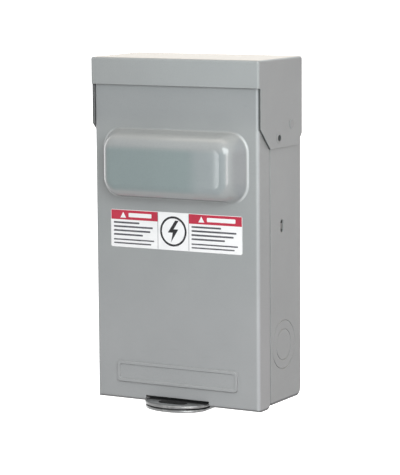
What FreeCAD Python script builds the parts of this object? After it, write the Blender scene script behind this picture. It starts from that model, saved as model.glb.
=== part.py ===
import FreeCAD, Part
import math
import os

# Weatherproof AC disconnect: a small grey steel enclosure with a drawn dome in its
# lift-up door, over a non-fused pull-out switch.  Millimetres.  X is to the right,
# Y runs back towards the wall, Z is up.  Shapes are laid out with z = 0 at the door's
# bottom edge and y = 0 on the wall; every node is then moved so that the origin is the
# centre of the four wall holes.

os.makedirs("parts", exist_ok=True)

# ---- driving dimensions -------------------------------------------------------------
SHEET = 1.4
SHEET_EDGE = 0.35
TOTAL_HEIGHT = 248.0

BOX_HALF_WIDTH = 67.0
BOX_FRONT = -60.4
BOX_BOTTOM = 2.4
JOGGLE = 2.2
JOGGLE_REAR = -46.4
JOGGLE_TOP = 186.0
JOGGLE_TOP_REAR = -23.5
BOX_LIP = 7.0
BOX_REAR_BEND = 6.0

HOOD_HALF_WIDTH = BOX_HALF_WIDTH + SHEET
HOOD_FRONT = -65.7
HOOD_LIP_BOTTOM = 228.4
EAR_FRONT = -63.4
EAR_BOTTOM = 185.0
EAR_CHAMFER = 15.0
EAR_REAR_CHAMFER = 7.5

DOOR_HALF_WIDTH = 66.7
DOOR_FRONT = -63.5
DOOR_TOP = 234.0
DOOR_FLANGE_REAR = -46.6
DOOR_FLANGE_TOP = 208.0
DOOR_BOTTOM_FLANGE_REAR = -55.0
DOOR_BEND = 2.8
DOOR_FLANGE_CORNER = 5.0

PIVOT_Y = -35.7
PIVOT_Z = 192.0
PIVOT_RADIUS = 3.0
PIVOT_CLEARANCE = 0.05
ARM_RADIUS = 5.2
ARM_SHOULDER_BACK = 3.1
ARM_SHOULDER_UP = 4.1
ARM_ROOT_TOP = 204.0
DOOR_SWING = 65.0
SWING_GAP = 1.4
SWING_MARGIN = 2.0
BACK_KEEP = -3.0
LIP_BELOW_PIVOT = 4.0

DOME_DEPTH = 16.0
DOME_CENTRE_Z = 172.5
DOME_HALF_WIDTH = 58.6
DOME_HALF_HEIGHT = 24.8
DOME_CORNER = 14.0
DOME_SIDE_DRAFT = 9.0
DOME_END_DRAFT = 4.0
DOME_SHOULDER = 9.5
DOME_BASE_FILLET = 1.8
ROOT_OVERLAP = 0.5

PLATE_HALF_WIDTH = 49.4
PLATE_BOTTOM = 13.0
PLATE_TOP = 28.0
PLATE_RAISE = 1.2
PLATE_BORDER = 2.2
PLATE_CORNER = 2.5
PLATE_ROOT = 0.6
PLATE_FIELD_CORNER = 1.6

HASP_HALF_WIDTH = 24.5
HASP_REACH = 18.0
HASP_SHEET = 2.0
HASP_GAP = 1.0
HASP_INSET = 0.4
HASP_RIM = 0.6
HASP_LOW = BOX_BOTTOM - 2 * HASP_SHEET - HASP_GAP
HASP_ROOT = -42.5
HASP_NOTCH_HALF_WIDTH = 26.0
HASP_NOTCH_TOP = 4.3
PADLOCK_HOLE_HALF_WIDTH = 11.0
PADLOCK_HOLE_RADIUS = 4.5
PADLOCK_HOLE_Y = -70.0

WALL_HOLE_RADIUS = 3.5
WALL_HOLE_X = 45.0
WALL_HOLE_LOW = 30.0
WALL_HOLE_HIGH = 220.0
ORIGIN_HEIGHT = (WALL_HOLE_LOW + WALL_HOLE_HIGH) / 2

KNOCKOUT_LARGE = 17.45
KNOCKOUT_SMALL = 11.1
KNOCKOUT_GROOVE = 0.4
KNOCKOUT_DEPTH = 0.4
KNOCKOUT_BRIDGE = 2.4
SIDE_KNOCKOUT_Y = -26.6
SIDE_KNOCKOUT_Z = 43.3

BASE_HALF_WIDTH = 50.0
BASE_FRONT = -28.0
BASE_BOTTOM = 112.0
BASE_TOP = 206.0
BASE_FLOOR = -12.0
HEAD_HALF_WIDTH = 27.0
HEAD_BOTTOM = 148.5
HEAD_TOP = 199.5
HEAD_CLEARANCE = 0.4
STRAP_THICKNESS = 2.0
STRAP_HALF_WIDTH = 6.0
LINE_X = 38.0
LOAD_X = 14.0
LINE_JAW_Z = 188.0
LOAD_JAW_Z = 160.0
JAW_HALF_HEIGHT = 4.5
JAW_FRONT = -26.0
LEAF_THICKNESS = 1.2
LEAF_TIP = 0.8
LEAF_FLARE = 0.9
LEAF_FLARE_DEPTH = 1.6
SPRING_THICKNESS = 0.8
SPRING_FRONT = -23.0
SPRING_REAR = -18.0
STRAP_GAP = 0.3
BLADE_HALF_THICKNESS = 1.2
BLADE_HALF_HEIGHT = 4.0
BLADE_TIP_HALF = 0.5
LUG_LOW = 120.0
LUG_HIGH = 138.0
LUG_FRONT = -27.0
LUG_WIRE_RADIUS = 4.0
LUG_WIRE_Y = -19.5
LUG_MIDDLE = (LUG_LOW + LUG_HIGH) / 2
LUG_EDGE = 1.0
LUG_POCKET_BELOW = 2.0
LUG_POCKET_ABOVE = 4.0
WIRE_WAY_HALF = 6.5

HOOD_BEND = 1.9
HOOD_FLANGE_BOTTOM = 232.0
HOOD_FLANGE_HALF_WIDTH = 65.4
HOOD_ROOF_GAP = 0.4
HOOD_RIVET_Y = -16.3
HOOD_RIVET_Z = 200.6
HOOD_BACK_RIVET_X = (-30.0, 30.0)
HOOD_BACK_RIVET_Z = 238.0
RIVET_RADIUS = 2.4
RIVET_HEAD_RADIUS = 4.2
RIVET_HEAD_TOP = 2.8
RIVET_HEAD_HEIGHT = 1.3
SIDE_RIVET_HEAD_RADIUS = 3.4
SIDE_RIVET_HEAD_HEIGHT = 0.6
SIDE_RIVET_HEAD_ROUND = 0.5
SIDE_RIVET_TAIL_RADIUS = 3.6
SIDE_RIVET_TAIL = 2.2
PIVOT_BORE_RADIUS = 2.2
PIVOT_HEAD_RADIUS = 3.9
PIVOT_HEAD_HEIGHT = 0.4
PIVOT_TAIL_HEIGHT = 0.8
HASP_RIVET_X = (-15.0, 15.0)
HASP_RIVET_Y = -51.5
BOTTOM_KNOCKOUT_X = (-40.0, 0.0, 40.0)
BASE_SCREW_X = 54.0
BASE_SCREW_Z = (124.0, 194.0)
SCREW_RADIUS = 2.0
SCREW_DEPTH = 13.0
SCREW_HEAD_RADIUS = 3.8
SCREW_HEAD_HEIGHT = 2.4
SCREW_HEAD_ROUNDING = 0.45
SCREW_SLOT = 1.0
SCREW_TIP = -0.3
SET_SCREW_SLOT_DEPTH = 1.2
GROUND_SCREW_X = 27.0
TAB_SLOT_HALF_HEIGHT = 4.8
TAB_SLOT_RADIUS = 2.3
LABEL_THICKNESS = 0.15
WARNING_HALF_WIDTH = 53.7
WARNING_BOTTOM = 111.5
WARNING_TOP = 138.6
DIAGRAM_HALF_WIDTH = 40.0
DIAGRAM_BOTTOM = 40.0
DIAGRAM_TOP = 104.0
LABEL_CORNER = 1.3
SHIELD_THICKNESS = 1.6
SHIELD_TAB_Z = 128.9
SHIELD_HALF_WIDTH = 56.0
SHIELD_BOTTOM = 110.0
SHIELD_TOP = 208.0
SHIELD_SCREW_X = 44.0
SHIELD_SCREW_Z = 200.0
SHIELD_SCREW_RADIUS = 1.75
SHIELD_SCREW_DEPTH = 10.0
SHIELD_SCREW_HEAD = 3.4
SHIELD_SCREW_HEIGHT = 2.2
SHIELD_CORNER = 3.0
SHIELD_TAB_HALF = 2.0
SHIELD_TAB_END = 66.7
SKIRT_DEPTH = 6.0
SCREWDRIVER_HOLE = 4.2

LUG_POCKET_HALF = 8.5
LUG_HALF_WIDTH = 7.5
SET_SCREW_RADIUS = 3.0
JAW_CLEARANCE = 0.05
BASE_EAR_THICKNESS = 5.0
BASE_EAR_HALF_WIDTH = 5.5
BASE_EAR_HALF_HEIGHT = 7.0
BASE_EAR_CORNER = 2.0
BASE_CORNER = 3.0
BASE_EDGE = 1.0

HEAD_CENTRE = (HEAD_BOTTOM + HEAD_TOP) / 2
HEAD_CORNER = 4.0
HEAD_REAR = -17.0
HEAD_FRONT = -43.0
HEAD_WALL = 2.4
BLADE_BAR_FRONT = -39.4
BLADE_ENGAGEMENT = 10.0
BLADE_BAR_REAR = -37.0
BLADE_BAR_HALF_WIDTH = 4.2
BLADE_CHAMFER = 1.5
BLADE_RIVET_RADIUS = 2.0
BLADE_RIVET_HEAD = 3.6
HANDLE_HALF_WIDTH = 29.5
HANDLE_HALF_HEIGHT = 27.5
HANDLE_PLATE = 3.0
HANDLE_EDGE = 1.0
GRIP_FRONT = -63.0
GRIP_DEPTH = 8.0
GRIP_HALF_WIDTH = 24.0
GRIP_HALF_HEIGHT = 5.0
GRIP_STEM_HALF = 8.0
GRIP_STEM_HALF_HEIGHT = 4.0
GRIP_STEM_CORNER = 2.0
GRIP_CORNER = 3.5
GRIP_EDGE = 1.5

GROUND_BAR_Z = 69.0
GROUND_FRONT = -11.4
GROUND_WIRE_X = (-18.0, -6.0, 6.0, 18.0)
GROUND_WIRE_RADIUS = 2.5
GROUND_WIRE_Y = -6.0
GROUND_SET_SCREW = 2.2
GROUND_HALF_WIDTH = 31.0
GROUND_HALF_HEIGHT = 5.0
GROUND_EDGE = 0.8
SET_SCREW_PROUD = 0.6

# Cutters run this far past the faces that they cut, or clear of the whole object.
THROUGH = 5.0
OUTSIDE = 90.0
ABOVE = 270.0


# ---- small builders -----------------------------------------------------------------
def block(x0, x1, y0, y1, z0, z1):
    low = FreeCAD.Vector(min(x0, x1), min(y0, y1), min(z0, z1))
    return Part.makeBox(abs(x1 - x0), abs(y1 - y0), abs(z1 - z0), low)


def rod(radius, start, end):
    start = FreeCAD.Vector(*start)
    along = FreeCAD.Vector(*end) - start
    return Part.makeCylinder(radius, along.Length, start, along)


def cone(radius_start, radius_end, start, end):
    start = FreeCAD.Vector(*start)
    along = FreeCAD.Vector(*end) - start
    return Part.makeCone(radius_start, radius_end, along.Length, start, along)


def side_plate(outline, x0, x1):
    """A plate across X from an outline of (y, z) points."""
    points = [FreeCAD.Vector(x0, y, z) for y, z in outline]
    face = Part.Face(Part.makePolygon(points + points[:1]))
    return face.extrude(FreeCAD.Vector(x1 - x0, 0, 0))


def on_both_sides(shape):
    return shape.fuse(shape.mirror(FreeCAD.Vector(0, 0, 0), FreeCAD.Vector(1, 0, 0)))


def mirrored(shape):
    return shape.mirror(FreeCAD.Vector(0, 0, 0), FreeCAD.Vector(1, 0, 0))


def join(first, *others):
    return first.fuse(list(others)).removeSplitter()


def group(*solids):
    return Part.makeCompound(list(solids))


def edges_where(shape, test):
    """Edges whose every end point passes the test."""
    return [edge for edge in shape.Edges if all(test(v.Point) for v in edge.Vertexes)]


def near(value, target):
    return abs(value - target) < 1e-4


def rounded_outline(half_x, low_z, high_z, corner, y):
    """A rounded rectangle in the plane at y, centred on x = 0."""
    arcs = []
    corners = [(half_x, high_z, 0), (-half_x, high_z, 90), (-half_x, low_z, 180), (half_x, low_z, 270)]
    for x, z, turn in corners:
        centre = FreeCAD.Vector(x - math.copysign(corner, x), y, z - corner if z == high_z else z + corner)
        arcs.append([centre + corner_point(corner, turn + step) for step in (0, 45, 90)])
    edges = []
    for index, (start, middle, end) in enumerate(arcs):
        edges.append(Part.Arc(start, middle, end).toShape())
        edges.append(Part.LineSegment(end, arcs[(index + 1) % 4][0]).toShape())
    return Part.Wire(edges)


def corner_point(radius, degrees):
    turn = math.radians(degrees)
    return FreeCAD.Vector(radius * math.cos(turn), 0, radius * math.sin(turn))


def rounded_slab(half_x, low_z, high_z, corner, y0, y1):
    face = Part.Face(rounded_outline(half_x, low_z, high_z, corner, y0))
    return face.extrude(FreeCAD.Vector(0, y1 - y0, 0))


def straight_edges(shape, test):
    """Straight edges whose two ends pass the test."""
    return [edge for edge in edges_where(shape, test) if len(edge.Vertexes) == 2
            and near(edge.Length, edge.Vertexes[0].Point.distanceToPoint(edge.Vertexes[1].Point))]


def edges_along_y(shape):
    """Straight edges that run from front to back."""
    return [edge for edge in shape.Edges
            if near(edge.Length, abs(edge.Vertexes[0].Y - edge.Vertexes[-1].Y))]


def edges_at_y(shape, y):
    """Edges that lie in the plane at y."""
    return edges_where(shape, lambda p: near(p.y, y))


def knockout_groove(centre, inward):
    """Two concentric scored rings, each left whole where a bar of metal crosses them."""
    centre = FreeCAD.Vector(*centre)
    inward = FreeCAD.Vector(*inward)
    rings = []
    for radius in (KNOCKOUT_LARGE, KNOCKOUT_SMALL):
        outer = Part.makeCylinder(radius + KNOCKOUT_GROOVE / 2, inward.Length, centre, inward)
        inner = Part.makeCylinder(radius - KNOCKOUT_GROOVE / 2, inward.Length, centre, inward)
        rings.append(outer.cut(inner))
    return rings[0].fuse(rings[1]).cut(knockout_bridge(centre, inward))


def knockout_bridge(centre, inward):
    """The bar of metal that stays whole across both rings."""
    along = FreeCAD.Vector(1, 0, 0) if near(inward.x, 0) else FreeCAD.Vector(0, 1, 0)
    side = along.cross(inward)
    side.normalize()
    half_width = KNOCKOUT_BRIDGE / 2
    reach = KNOCKOUT_LARGE + THROUGH
    corners = [centre + side * (across * half_width) + along * (out * reach)
               for across, out in ((-1, -1), (1, -1), (1, 1), (-1, 1))]
    face = Part.Face(Part.makePolygon(corners + corners[:1]))
    return face.extrude(inward)


def write(node, shape):
    shape = shape.copy()
    shape.translate(FreeCAD.Vector(0, 0, -ORIGIN_HEIGHT))
    shape.exportStep("parts/" + node + ".step")
    print(node, "solids", len(shape.Solids), "valid", shape.isValid(), "volume", round(shape.Volume, 1))


# ---- enclosure ----------------------------------------------------------------------
def swing_clearance():
    """The region above and in front of the pivot that the door's top edge sweeps."""
    reach = PIVOT_Y - DOOR_FRONT - SHEET - SWING_GAP
    turn = math.radians(DOOR_SWING + SWING_MARGIN)
    tangent_y = PIVOT_Y - reach * math.cos(turn)
    tangent_z = PIVOT_Z + reach * math.sin(turn)
    rise = math.cos(turn) / math.sin(turn)
    start_z = PIVOT_Z + math.sqrt(reach ** 2 - (PIVOT_Y - BOX_FRONT) ** 2)
    middle_turn = (math.asin((start_z - PIVOT_Z) / reach) + turn) / 2
    middle = (PIVOT_Y - reach * math.cos(middle_turn), PIVOT_Z + reach * math.sin(middle_turn))
    rear_z = tangent_z + (BACK_KEEP - tangent_y) * rise
    outline = ((BOX_FRONT, start_z), middle, (tangent_y, tangent_z), (BACK_KEEP, rear_z), (BACK_KEEP, ABOVE),
               (-OUTSIDE, ABOVE), (-OUTSIDE, start_z))
    points = [FreeCAD.Vector(-OUTSIDE, y, z) for y, z in outline]
    edges = [Part.Arc(points[0], points[1], points[2]).toShape()]
    rest = points[2:] + points[:1]
    edges += [Part.LineSegment(a, b).toShape() for a, b in zip(rest, rest[1:])]
    return Part.Face(Part.Wire(edges)).extrude(FreeCAD.Vector(2 * OUTSIDE, 0, 0))


def box_shell():
    """Back, sides and bottom of the box, folded from one sheet."""
    high = TOTAL_HEIGHT - HOOD_BEND - HOOD_ROOF_GAP

    def solid(inset, front, top):
        side = BOX_HALF_WIDTH - inset
        shape = block(-side, side, front, -inset, BOX_BOTTOM + inset, top)
        rear_fold = edges_where(shape, lambda p: near(p.z, BOX_BOTTOM + inset) and near(p.y, -inset))
        return shape.makeFillet(BOX_REAR_BEND - inset, rear_fold)

    return solid(0, BOX_FRONT, high).cut(solid(SHEET, BOX_FRONT - THROUGH, high + THROUGH))


def joggle_zone(margin):
    """Outline of the side wall that is set inwards behind the door's flange and the ear."""
    rear = JOGGLE_REAR + margin
    top_rear = JOGGLE_TOP_REAR + margin
    step = JOGGLE_TOP - margin
    return [(BOX_FRONT, BOX_BOTTOM), (rear, BOX_BOTTOM), (rear, step), (top_rear, step),
            (top_rear, TOTAL_HEIGHT - HOOD_BEND), (BOX_FRONT, TOTAL_HEIGHT - HOOD_BEND)]


def joggled_side():
    """The set-in sheet of the right side with its step, before the swing clearance."""
    outer = BOX_HALF_WIDTH - JOGGLE
    inner = outer - SHEET
    sheet = side_plate(joggle_zone(SHEET), inner, outer)
    step = side_plate(joggle_zone(SHEET), inner, BOX_HALF_WIDTH)
    step = step.cut(side_plate(joggle_zone(0), inner - 1, BOX_HALF_WIDTH + 1))
    lip = block(outer - BOX_LIP, outer, BOX_FRONT, BOX_FRONT + SHEET, BOX_BOTTOM,
                PIVOT_Z - LIP_BELOW_PIVOT)
    return sheet.fuse([step, lip])


def back_box():
    outer = BOX_HALF_WIDTH - JOGGLE
    zone = side_plate(joggle_zone(0), outer, BOX_HALF_WIDTH + 1)
    shell = box_shell().cut(on_both_sides(zone))
    drip_lip = block(-outer, outer, BOX_FRONT, BOX_FRONT + SHEET, BOX_BOTTOM, BOX_BOTTOM + BOX_LIP)
    shape = shell.fuse([on_both_sides(joggled_side()), drip_lip])
    return shape.cut(box_cutters()).removeSplitter()


def back_hole(radius, x, z):
    """A hole through the box back."""
    return rod(radius, (x, THROUGH, z), (x, -2 * SHEET - THROUGH, z))


def side_hole(radius, y, z):
    """A hole through the right side, its ear and anything else near it."""
    return rod(radius, (BOX_HALF_WIDTH - 2 * THROUGH, y, z), (BOX_HALF_WIDTH + THROUGH, y, z))


def hasp_rivet_holes():
    """Cutters for the two rivets that hold the hasp to the box bottom."""
    return [rod(RIVET_RADIUS, (x, HASP_RIVET_Y, HASP_LOW - THROUGH), (x, HASP_RIVET_Y, BOX_BOTTOM + THROUGH))
            for x in HASP_RIVET_X]


def box_cutters():
    """Holes, scored knockouts and the swing clearance, as one cutting shape."""
    cuts = [swing_clearance()]
    cuts += [back_hole(WALL_HOLE_RADIUS, x, z) for x, z in wall_holes()]
    cuts += [back_hole(SCREW_RADIUS, x, z) for x, z in base_screw_places() + ground_screw_places()]
    cuts += [back_hole(RIVET_RADIUS, x, HOOD_BACK_RIVET_Z) for x in HOOD_BACK_RIVET_X]
    cuts += hasp_rivet_holes()
    cuts += [knockout_groove((x, SIDE_KNOCKOUT_Y, BOX_BOTTOM), (0, 0, KNOCKOUT_DEPTH))
             for x in BOTTOM_KNOCKOUT_X]
    cuts.append(knockout_groove((0, 0, SIDE_KNOCKOUT_Z), (0, -KNOCKOUT_DEPTH, 0)))
    knockout = knockout_groove((BOX_HALF_WIDTH, SIDE_KNOCKOUT_Y, SIDE_KNOCKOUT_Z), (-KNOCKOUT_DEPTH, 0, 0))
    pivot = side_hole(PIVOT_RADIUS, PIVOT_Y, PIVOT_Z)
    rivet = side_hole(RIVET_RADIUS, HOOD_RIVET_Y, HOOD_RIVET_Z)
    for one_side in (tab_slot(), knockout, pivot, rivet):
        cuts.append(one_side)
        cuts.append(mirrored(one_side))
    return cuts[0].fuse(cuts[1:])


def tab_slot():
    """The upright slot in the right wall that a shield tab hooks into."""
    middle = BASE_FRONT - SHIELD_THICKNESS / 2
    low = SHIELD_TAB_Z - TAB_SLOT_HALF_HEIGHT + TAB_SLOT_RADIUS
    high = SHIELD_TAB_Z + TAB_SLOT_HALF_HEIGHT - TAB_SLOT_RADIUS
    inner = BOX_HALF_WIDTH - THROUGH
    outer = BOX_HALF_WIDTH + THROUGH
    ends = [rod(TAB_SLOT_RADIUS, (inner, middle, z), (outer, middle, z)) for z in (low, high)]
    straight = block(inner, outer, middle - TAB_SLOT_RADIUS, middle + TAB_SLOT_RADIUS, low, high)
    return ends[0].fuse([ends[1], straight])


def wall_holes():
    return [(x, z) for x in (-WALL_HOLE_X, WALL_HOLE_X) for z in (WALL_HOLE_LOW, WALL_HOLE_HIGH)]


def hood_form(inset):
    """The hood's outer form, or with an inset the space inside its sheet."""
    side = HOOD_HALF_WIDTH - inset
    front = HOOD_FRONT + inset
    top = TOTAL_HEIGHT - inset
    shape = block(-side, side, front, THROUGH, EAR_BOTTOM - THROUGH, top)
    corners = edges_where(shape, lambda p: near(p.y, front) and near(abs(p.x), side))
    corners = [edge for edge in corners if near(edge.Vertexes[0].X, edge.Vertexes[1].X)]
    roof = [edge for edge in edges_where(shape, lambda p: near(p.z, top))
            if not all(near(v.Y, THROUGH) for v in edge.Vertexes)]
    return shape.makeFillet(HOOD_BEND - inset, corners + roof)


def below_hood():
    """Everything under the front lip and the ears' cut corners."""
    ear_top = EAR_BOTTOM + EAR_CHAMFER
    rear_top = EAR_BOTTOM + EAR_REAR_CHAMFER
    low = EAR_BOTTOM - 2 * THROUGH
    outline = [(-OUTSIDE, low), (-OUTSIDE, HOOD_LIP_BOTTOM), (EAR_FRONT, HOOD_LIP_BOTTOM),
               (EAR_FRONT, ear_top), (EAR_FRONT + EAR_CHAMFER, EAR_BOTTOM), (-EAR_REAR_CHAMFER, EAR_BOTTOM),
               (0, rear_top), (2 * THROUGH, rear_top), (2 * THROUGH, low)]
    return side_plate(outline, -OUTSIDE, OUTSIDE)


def top_hood():
    """Roof, front lip and two ears from one sheet, with a flange inside the back."""
    shell = hood_form(0).cut(hood_form(SHEET))
    behind = block(-OUTSIDE, OUTSIDE, 0, 2 * THROUGH, 0, ABOVE)
    flange = block(-HOOD_FLANGE_HALF_WIDTH, HOOD_FLANGE_HALF_WIDTH, -2 * SHEET, -SHEET,
                   HOOD_FLANGE_BOTTOM, TOTAL_HEIGHT - SHEET)
    shape = shell.cut(behind).cut(below_hood()).fuse(flange)
    pivot = side_hole(PIVOT_RADIUS, PIVOT_Y, PIVOT_Z)
    rivet = side_hole(RIVET_RADIUS, HOOD_RIVET_Y, HOOD_RIVET_Z)
    cuts = [pivot, rivet, mirrored(pivot), mirrored(rivet)]
    cuts += [back_hole(RIVET_RADIUS, x, HOOD_BACK_RIVET_Z) for x in HOOD_BACK_RIVET_X]
    shape = shape.cut(cuts[0].fuse(cuts[1:])).removeSplitter()
    return shape.makeFillet(SHEET_EDGE, hood_sheet_edges(shape))


def hood_sheet_edges(hood):
    """The front lip's lower outer edge and the outer edges of both ears."""
    lip = straight_edges(hood, lambda p: near(p.z, HOOD_LIP_BOTTOM) and near(p.y, HOOD_FRONT))
    ear_limit = HOOD_LIP_BOTTOM + SHEET
    return lip + straight_edges(hood, lambda p: near(abs(p.x), HOOD_HALF_WIDTH) and p.z < ear_limit)


# ---- door ---------------------------------------------------------------------------
def dome(inset):
    """The drawn dome, or with an inset the hollow behind it."""
    base_y = DOOR_FRONT + inset
    crown_y = DOOR_FRONT - DOME_DEPTH + inset
    outlines = []
    for y, side, end in ((base_y + ROOT_OVERLAP, 0, 0), (crown_y, DOME_SIDE_DRAFT, DOME_END_DRAFT)):
        half_height = DOME_HALF_HEIGHT - inset - end
        corner = DOME_CORNER - (inset + end) / 2
        outlines.append(rounded_outline(DOME_HALF_WIDTH - inset - side, DOME_CENTRE_Z - half_height,
                                        DOME_CENTRE_Z + half_height, corner, y))
    shape = Part.makeLoft(outlines, True, True)
    crown = edges_where(shape, lambda p: near(p.y, crown_y))
    return shape.makeFillet(DOME_SHOULDER - inset, crown)


def door_form(inset):
    """The door's outer form, or with an inset the space inside its flanges."""
    past = THROUGH if inset else 0
    side = DOOR_HALF_WIDTH - inset
    front = DOOR_FRONT + inset
    high = DOOR_TOP + past
    shape = block(-side, side, front, DOOR_FLANGE_REAR + past, inset, high)
    folds = [edge for edge in edges_at_y(shape, front) if not all(near(v.Z, high) for v in edge.Vertexes)]
    return shape.makeFillet(DOOR_BEND - inset, folds)


def door_skin():
    """Front panel with side flanges and a bottom flange, before the dome is drawn."""
    inner = DOOR_HALF_WIDTH - SHEET
    behind = DOOR_FLANGE_REAR + THROUGH
    behind_bottom = block(-inner, inner, DOOR_BOTTOM_FLANGE_REAR, behind, -THROUGH, THROUGH)
    above_flange = block(-OUTSIDE, OUTSIDE, DOOR_FRONT + DOOR_BEND, behind, DOOR_FLANGE_TOP, ABOVE)
    turn_y = DOOR_FLANGE_REAR - DOOR_FLANGE_CORNER
    corner = block(-OUTSIDE, OUTSIDE, turn_y, behind, -THROUGH, DOOR_FLANGE_CORNER)
    corner = corner.cut(rod(DOOR_FLANGE_CORNER, (-OUTSIDE, turn_y, DOOR_FLANGE_CORNER),
                            (OUTSIDE, turn_y, DOOR_FLANGE_CORNER)))
    return door_form(0).cut(door_form(SHEET)).cut(behind_bottom.fuse([above_flange, corner]))


def door_arm():
    """The right flange's arm, which reaches back to the pivot under the ear."""
    inner = DOOR_HALF_WIDTH - SHEET
    eye = rod(ARM_RADIUS, (inner, PIVOT_Y, PIVOT_Z), (DOOR_HALF_WIDTH, PIVOT_Y, PIVOT_Z))
    root = DOOR_FLANGE_REAR - ROOT_OVERLAP
    shoulder = (PIVOT_Y + ARM_SHOULDER_BACK, PIVOT_Z + ARM_SHOULDER_UP)
    outline = [(root, PIVOT_Z - ARM_RADIUS), (PIVOT_Y, PIVOT_Z - ARM_RADIUS), shoulder, (root, ARM_ROOT_TOP)]
    return eye.fuse(side_plate(outline, inner, DOOR_HALF_WIDTH))


def nameplate_pad():
    """The blank raised panel low on the door."""
    return rounded_slab(PLATE_HALF_WIDTH, PLATE_BOTTOM, PLATE_TOP, PLATE_CORNER,
                        DOOR_FRONT + PLATE_ROOT, DOOR_FRONT - PLATE_RAISE)


def nameplate_field():
    """The sunk field that leaves a border around the panel."""
    face = DOOR_FRONT - PLATE_RAISE
    half_width = PLATE_HALF_WIDTH - PLATE_BORDER
    return rounded_slab(half_width, PLATE_BOTTOM + PLATE_BORDER, PLATE_TOP - PLATE_BORDER,
                        PLATE_FIELD_CORNER, face - THROUGH, face + PLATE_ROOT)


def front_door():
    """Door panel with its drawn dome, arms, blank raised panel and the notch for the hasp."""
    shape = door_skin().fuse([on_both_sides(door_arm()), dome(0), nameplate_pad()])
    half = DOME_HALF_HEIGHT + DOME_BASE_FILLET
    foot = [edge for edge in edges_at_y(shape, DOOR_FRONT)
            if all(abs(v.Z - DOME_CENTRE_Z) < half and abs(v.X) < DOME_HALF_WIDTH + 1 for v in edge.Vertexes)]
    shape = shape.makeFillet(DOME_BASE_FILLET, foot).cut(dome(SHEET))
    notch = block(-HASP_NOTCH_HALF_WIDTH, HASP_NOTCH_HALF_WIDTH, -OUTSIDE, DOOR_FLANGE_REAR,
                  -THROUGH, HASP_NOTCH_TOP)
    eye = rod(PIVOT_RADIUS + PIVOT_CLEARANCE, (-OUTSIDE, PIVOT_Y, PIVOT_Z), (OUTSIDE, PIVOT_Y, PIVOT_Z))
    shape = shape.cut(nameplate_field().fuse([notch, eye])).removeSplitter()
    panel_edges = edges_at_y(shape, DOOR_FRONT - PLATE_RAISE)
    flange_edges = straight_edges(shape, lambda p: near(p.y, DOOR_FLANGE_REAR)
                                  and near(abs(p.x), DOOR_HALF_WIDTH))
    return shape.makeFillet(SHEET_EDGE, panel_edges + flange_edges)


# ---- rivets and hasp ----------------------------------------------------------------
def hinge_rivet():
    """Tubular rivet through the right ear, the door's arm and the box wall."""
    def at(x):
        return (x, PIVOT_Y, PIVOT_Z)
    outside = HOOD_HALF_WIDTH + PIVOT_HEAD_HEIGHT
    inside = BOX_HALF_WIDTH - JOGGLE - SHEET
    shank = rod(PIVOT_RADIUS, at(inside), at(HOOD_HALF_WIDTH))
    head = rod(PIVOT_HEAD_RADIUS, at(HOOD_HALF_WIDTH), at(outside))
    rim = edges_where(head, lambda p: near(p.x, outside))
    head = head.makeFillet(PIVOT_HEAD_HEIGHT / 2, rim)
    tail = rod(PIVOT_HEAD_RADIUS, at(inside - PIVOT_TAIL_HEIGHT), at(inside))
    bore = rod(PIVOT_BORE_RADIUS, at(inside - THROUGH), at(outside + THROUGH))
    return join(shank, head, tail).cut(bore)


def hood_side_rivet():
    """Low-headed rivet that ties the right ear to the box."""
    def at(x):
        return (x, HOOD_RIVET_Y, HOOD_RIVET_Z)
    outside = HOOD_HALF_WIDTH + SIDE_RIVET_HEAD_HEIGHT
    inside = BOX_HALF_WIDTH - SHEET
    shank = rod(RIVET_RADIUS, at(inside), at(HOOD_HALF_WIDTH))
    head = rod(SIDE_RIVET_HEAD_RADIUS, at(HOOD_HALF_WIDTH), at(outside))
    rim = edges_where(head, lambda p: near(p.x, outside))
    head = head.makeFillet(SIDE_RIVET_HEAD_ROUND, rim)
    tail = cone(RIVET_RADIUS, SIDE_RIVET_TAIL_RADIUS, at(inside - SIDE_RIVET_TAIL), at(inside))
    return join(shank, head, tail)


def hood_back_rivet(x):
    """Flush rivet between the hood's inner flange and the box back."""
    def at(y):
        return (x, y, HOOD_BACK_RIVET_Z)
    seat = -2 * SHEET
    head = cone(RIVET_HEAD_RADIUS, RIVET_HEAD_TOP, at(seat), at(seat - RIVET_HEAD_HEIGHT))
    return join(rod(RIVET_RADIUS, at(0), at(seat)), head)


def hasp_outline(shrink, z):
    """D-shaped tab outline in the plane at z, as a face."""
    half = HASP_HALF_WIDTH - shrink
    left = FreeCAD.Vector(-half, DOOR_FRONT, z)
    right = FreeCAD.Vector(half, DOOR_FRONT, z)
    curve = Part.Ellipse(FreeCAD.Vector(0, DOOR_FRONT, z), half, HASP_REACH - shrink)
    edges = [Part.ArcOfEllipse(curve, math.pi, 2 * math.pi).toShape()]
    corners = [right, FreeCAD.Vector(half, HASP_ROOT, z), FreeCAD.Vector(-half, HASP_ROOT, z), left]
    edges += [Part.LineSegment(a, b).toShape() for a, b in zip(corners, corners[1:])]
    return Part.Face(Part.Wire(edges))


def hasp_layer(shrink, top):
    """One layer of the hasp, with its nose edges rounded over."""
    layer = hasp_outline(shrink, top - HASP_SHEET).extrude(FreeCAD.Vector(0, 0, HASP_SHEET))
    nose = [edge for edge in layer.Edges if near(edge.Vertexes[0].Z, edge.Vertexes[-1].Z)
            and edge.BoundBox.YMin < DOOR_FRONT - THROUGH]
    return layer.makeFillet(HASP_RIM, nose)


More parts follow.
